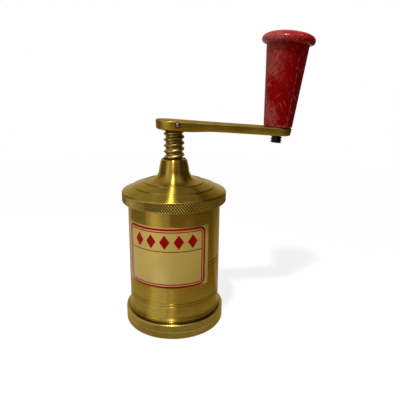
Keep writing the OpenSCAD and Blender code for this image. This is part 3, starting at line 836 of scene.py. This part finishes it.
on_grub = (on_arm @ Matrix.Translation((0, 0, -GRUB_DROP)) @ Matrix.Rotation(GRUB_TURN, 4, "Z")
           @ Matrix.Rotation(radians(90), 4, "X"))
on_grip = on_arm @ Matrix.Translation((ARM_LEN, 0, 0))
arm = carved(arm, drill(SPINDLE_HOLE_R, 110, ARM_TOP + 1, Matrix.Identity(4)),
             drill(BOLT_HOLE_R, -8, 3, on_grip), drill(GRUB_HOLE_R, 4, 14, on_grub))
boss = turn(half_section([(SPINDLE_HOLE_R, BOSS_LOW, 0), (BOSS_LOW_R, BOSS_LOW, 0.1),
                          (BOSS_TOP_R, BOSS_TOP, 0), (SPINDLE_HOLE_R, BOSS_TOP, 0)]), steps=64)
placed("crank_lever", gathered(arm, boss), [filed_brass], "crank", "brass_arm", "crank_arm")

# %% [markdown]
# ## Small steel
# A slotted set screw holds the arm on the spindle. Its hole is a little wider than the screw, which is
# what draws the dark ring round its bright end. The same steel serves for the pegs and washers inside.

# %% Steel finish and set screw
STEEL_DARK, STEEL_LIGHT = (0.13, 0.110, 0.085, 1), (0.40, 0.37, 0.33, 1)
GRUB_R, GRUB_START, GRUB_RIM, GRUB_END = 1.2, 4.6, 9.2, 9.5
SLOT_SIZE = (4, 0.42, 0.9, 1)

bright_steel = Finish("bright steel", Metallic=1.0)
x, y, z = bright_steel.point()
haze = bright_steel.noise(x * 0.6, y * 0.6, z * 0.6, 4, 0.6)
lines = bright_steel.noise(x * 3, y * 3, z * 14, 2)
colour = bright_steel.mix(haze, STEEL_DARK, STEEL_LIGHT)
steel = bright_steel.done(colour, 0.34 + (haze - 0.5) * 0.3, lines, 0.004)

grub = turn(half_section([(0, GRUB_START, 0), (GRUB_R, GRUB_START, 0.2), (GRUB_R, GRUB_RIM, 0.4),
                          (0, GRUB_END, 0)]), steps=32)
slot = bmesh.new()
bmesh.ops.create_cube(slot, size=1, matrix=Matrix.Translation((0, 0, GRUB_END)) @ Matrix.Diagonal(SLOT_SIZE))
grub = carved(grub, slot)
bmesh.ops.transform(grub, matrix=on_grub, verts=grub.verts)
placed("set_screw", grub, [steel], "crank", "steel", "arm_grub")

# %% [markdown]
# ## The red grip
# The grip is turned from dyed plastic: a tapering handle with a mushroom knob. Years of use rubbed chalky
# patches into one side and the knob, and left pale scratches. A patch is a field that falls off across
# the grip, pushed over a threshold by noise so that its border frays. Noise that is stretched along a
# slant gives rubbing strokes, and its rare peaks give single scratches. Rubbed plastic is also smoother
# on the knob, so that gets a thin coat.

# %% Grip wear
GRIP_PLACE = on_grip.to_translation() * MM
GRIP_FACE = view_azimuth - radians(14)
KNOB_FROM, KNOB_TO = 44.9, 45.5

worn_red = Finish("worn red plastic", IOR=1.46, Specular_IOR_Level=0.03, Coat_Roughness=0.22)
x, y, z = worn_red.point(GRIP_PLACE, DROOP)
r = (x * x + y * y) ** 0.5 + NOT_ZERO
across = x * -sin(GRIP_FACE) + y * cos(GRIP_FACE)
side = across / r
on_knob = z.rise(KNOB_FROM, KNOB_TO)


def slanting(angle, along, wide, detail=4):
    """Noise in strokes at an angle, as fine as wide across them and as fine as along on their way."""
    c, s = cos(radians(angle)), sin(radians(angle))
    return worn_red.noise((across * c + z * s) * along, (z * c - across * s) * wide, y * 0.2, detail, 0.65)


strokes, crossing = slanting(62, 0.22, 1.0), slanting(-70, 0.18, 0.9)
broad = worn_red.noise(x * 0.13, y * 0.13, z * 0.09, 5, 0.6)
mottle = worn_red.noise(x * 1.3, y * 1.3, z * 1.0, 5, 0.75)
few = worn_red.noise(x * 0.2, y * 0.2, z * 0.15, 2)
fray = (broad - 0.5) * 1.0 + (strokes - 0.5) * 0.7 + (crossing - 0.5) * 0.5 + (mottle - 0.5) * 0.8
lean = fray - side
upper = (lean - 0.12).rise(-0.35, 0.55) * (z + fray * 9 + side * 2).rise(23, 30)
lower = (lean - 0.12 - (z - 7).most(0) * 0.08).rise(-0.25, 0.4) * z.rise(22, 17)
knob = (lean + 0.1).rise(-0.35, 0.45) * on_knob * 0.75
rubbed = (strokes * 0.4 + crossing * 0.35 + mottle * 0.45).rise(0.48, 0.72) * 0.8 + 0.2
bloom = upper.most(lower).most(knob) * rubbed
print("grip wear faces", round(GRIP_FACE, 2), "radians")

# %% Grip finish
RED_DEEP, RED_BRIGHT = (0.165, 0.0004, 0.0006, 1), (0.242, 0.0008, 0.0010, 1)
RED_CHALKY, RED_SCRATCHED = (0.275, 0.070, 0.056, 1), (0.46, 0.140, 0.110, 1)

hem = (mottle + strokes).rise(0.92, 1.1) * z.rise(1.9, 1.0) * side.rise(-0.3, 0.1)
scratches = slanting(48, 0.13, 1.3, 1).rise(0.64, 0.71) * few.rise(0.42, 0.52)
scratches = scratches.most(slanting(-58, 0.15, 1.3, 1).rise(0.65, 0.72) * few.rise(0.58, 0.48))
drag = rule(across - r * 0.61 + (broad - 0.5) * 1.8, 0.45) * (strokes + mottle).rise(0.94, 1.1)
marks = (scratches * 0.55).most(drag * z.rise(41, 37) * 0.75).most(hem * 0.7)
chalk = bloom.most(marks)
colour = worn_red.mix(worn_red.noise(x * 0.07, y * 0.07, z * 0.07, 3), RED_DEEP, RED_BRIGHT)
colour = worn_red.mix(bloom * 0.85, colour, RED_CHALKY)
colour = worn_red.mix(marks * 0.9, colour, RED_SCRATCHED)
worn_red.feed(worn_red.shader.inputs["Coat Weight"], on_knob * mottle.rise(0.35, 0.6) * 0.35)
red_grip = worn_red.done(colour, 0.36 + chalk * 0.3 + (mottle - 0.5) * 0.2, mottle * 0.5 + chalk, 0.03)

# %% Grip
KNOB_R, LIP_Z, DOME_H, DOME_POWER = 14.68, 47.44, 4.98, 2 / 2.3
GRIP_BORE_R, RECESS_R, RECESS_LOW, RECESS_TOP = 3.3, 6.1, 45.95, 52.1
GRIP_LOW, GRIP_LOW_R, COLLAR_R, COLLAR_UP = 0.27, 8.2, 6.4, 0.65
GRIP_HIGH, GRIP_HIGH_R, KNOB_LOW = 45.3, 11.8, 44.98
dome = [(KNOB_R * cos(radians(t)) ** DOME_POWER, LIP_Z + DOME_H * sin(radians(t)) ** DOME_POWER, 0)
        for t in range(4, 69, 4)]
grip_section = [(GRIP_BORE_R, COLLAR_UP, 0), (COLLAR_R, COLLAR_UP, 0), (COLLAR_R, GRIP_LOW, 0.1),
                (GRIP_LOW_R, GRIP_LOW, 0.55), (GRIP_HIGH_R, GRIP_HIGH, 0.35), (KNOB_R, KNOB_LOW, 2.4)]
grip_section += dome
grip_section += [(RECESS_R, RECESS_TOP, 0.2), (RECESS_R, RECESS_LOW, 0), (GRIP_BORE_R, RECESS_LOW, 0)]
grip = turn(half_section(grip_section), steps=144)
bmesh.ops.transform(grip, matrix=on_grip, verts=grip.verts)
placed("turning_grip", grip, [red_grip], "grip", "red_grip", "handle_grip")

# %% [markdown]
# ## The bolt
# A blackened bolt runs down through the grip and the arm. Its threaded tail shows below the arm, and its
# socket head sits in the knob's recess. The tail is the same screw tool again with a finer profile.

# %% Bolt finish
BLACK_DEEP, BLACK_GREY = (0.003, 0.003, 0.0035, 1), (0.014, 0.012, 0.011, 1)

blackened = Finish("blackened steel", Metallic=0.6)
x, y, z = blackened.point(GRIP_PLACE, DROOP)
scale = blackened.noise(x * 0.8, y * 0.8, z * 0.8, 4)
colour = blackened.mix(scale.rise(0.4, 0.8), BLACK_DEEP, BLACK_GREY)
black_steel = blackened.done(colour, 0.45 + (scale - 0.5) * 0.3, scale, 0.01)

# %% Bolt
BOLT_R, BOLT_ROOT_R, BOLT_PITCH = 3.2, 2.7, 1.5
TAIL_LOW, TAIL_TOP, SHANK_LOW, SHANK_FULL = -8.97, -3.9, -4.6, -4.0
HEAD_R, HEAD_LOW, HEAD_TOP = 4.9, 46.87, 51.43
KEY_R, KEY_LONG = 2.88, 5.2

fine_crest = ridge([(BOLT_R, 0.3), (BOLT_ROOT_R, 0.55), (BOLT_ROOT_R - 0.05, 0.75)])
tail = screw(fine_crest, BOLT_PITCH, 0.0, TAIL_LOW, TAIL_TOP, steps=32)
shank = turn(half_section([(0, SHANK_LOW, 0), (BOLT_ROOT_R, SHANK_LOW, 0), (BOLT_R, SHANK_FULL, 0),
                           (BOLT_R, HEAD_LOW, 0), (HEAD_R, HEAD_LOW, 0.2), (HEAD_R, HEAD_TOP, 0.5),
                           (0, HEAD_TOP, 0)]), steps=48)
# The key stands half above the head, so it cuts a socket half as deep as it is long.
key = bmesh.new()
bmesh.ops.create_cone(key, cap_ends=True, segments=6, radius1=KEY_R, radius2=KEY_R, depth=KEY_LONG,
                      matrix=Matrix.Translation((0, 0, HEAD_TOP)))
bolt = gathered(carved(shank, key), tail)
bmesh.ops.transform(bolt, matrix=on_grip, verts=bolt.verts)
placed("grip_bolt", bolt, [black_steel], "crank", "black_steel", "handle_bolt")

# %% [markdown]
# ## The felt wiper
# A felt ring rides on the head and wipes the drum's wall. Felt is soft, so its edges are round and its
# face is matted fibre: two noises that cross, one fine and one clumped.

# %% Felt wiper
FELT_DARK, FELT_LIGHT = (0.12, 0.105, 0.085, 1), (0.30, 0.275, 0.235, 1)
FELT_STAIN = (0.07, 0.045, 0.028, 1)
WIPER_BORE_R, WIPER_R, WIPER_LOW, WIPER_TOP = 4.4, 24.05, 43.03, 45.95

felted = Finish("pressed felt", Sheen_Weight=0.15, Sheen_Roughness=0.5)
x, y, z = felted.point()
fibre = felted.noise(x * 2.5, y * 2.5, z * 6, 5, 0.7)
clump = felted.noise(x * 0.35, y * 0.35, z * 0.35, 4, 0.6)
colour = felted.mix((fibre * 0.6 + clump * 0.4).rise(0.3, 0.7), FELT_DARK, FELT_LIGHT)
colour = felted.mix(clump.rise(0.55, 0.8) * 0.5, colour, FELT_STAIN)
felt = felted.done(colour, 0.9 - fibre * 0.1, fibre + clump * 0.6, 0.12)
wiper_section = [(WIPER_BORE_R, WIPER_LOW, 0.5), (WIPER_R, WIPER_LOW, 0.9), (WIPER_R, WIPER_TOP, 0.9),
                 (WIPER_BORE_R, WIPER_TOP, 0.5)]
wiper = turn(half_section(wiper_section), steps=128)
placed("felt_wiper", wiper, [felt], "follower", "felt", "wiper_washer")

# %% [markdown]
# ## The pieces inside
# The grinding parts show only when the lid is lifted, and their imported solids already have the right
# shape. They keep it and only get worn brass or steel.

# %% Finishes of the inner pieces
WORN_BRIGHT, WORN_DEEP = (0.30, 0.19, 0.042, 1), (0.20, 0.12, 0.022, 1)

worn_brass = ringed_brass("worn brass", WORN_BRIGHT, WORN_DEEP, 0.06, 0.006, Anisotropic=0.5,
                          Anisotropic_Rotation=0.25)
inside = {worn_brass: ("grinding_plate", "plate_ring", "feed_nut", "grinding_head"),
          steel: ("plate_teeth", "plate_dowels", "nut_screws", "head_teeth", "head_key", "head_washer",
                  "head_nut", "grip_washer", "bolt_washer")}
for finish, names in inside.items():
    for name in names:
        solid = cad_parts[name].data
        solid.materials.clear()
        solid.materials.append(finish)
print("dressed", sum(len(names) for names in inside.values()), "inner solids")

# %% [markdown]
# ## Size and finish
# The dressed mill must stay inside the box of its solids, so both boxes are printed.

# %% Print both boxes
boxes = {"cad": cad_box, "visual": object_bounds()}
for name, (low, high) in boxes.items():
    print(name, "box", [round((b - a) / MM, 2) for a, b in zip(low, high)], "mm")
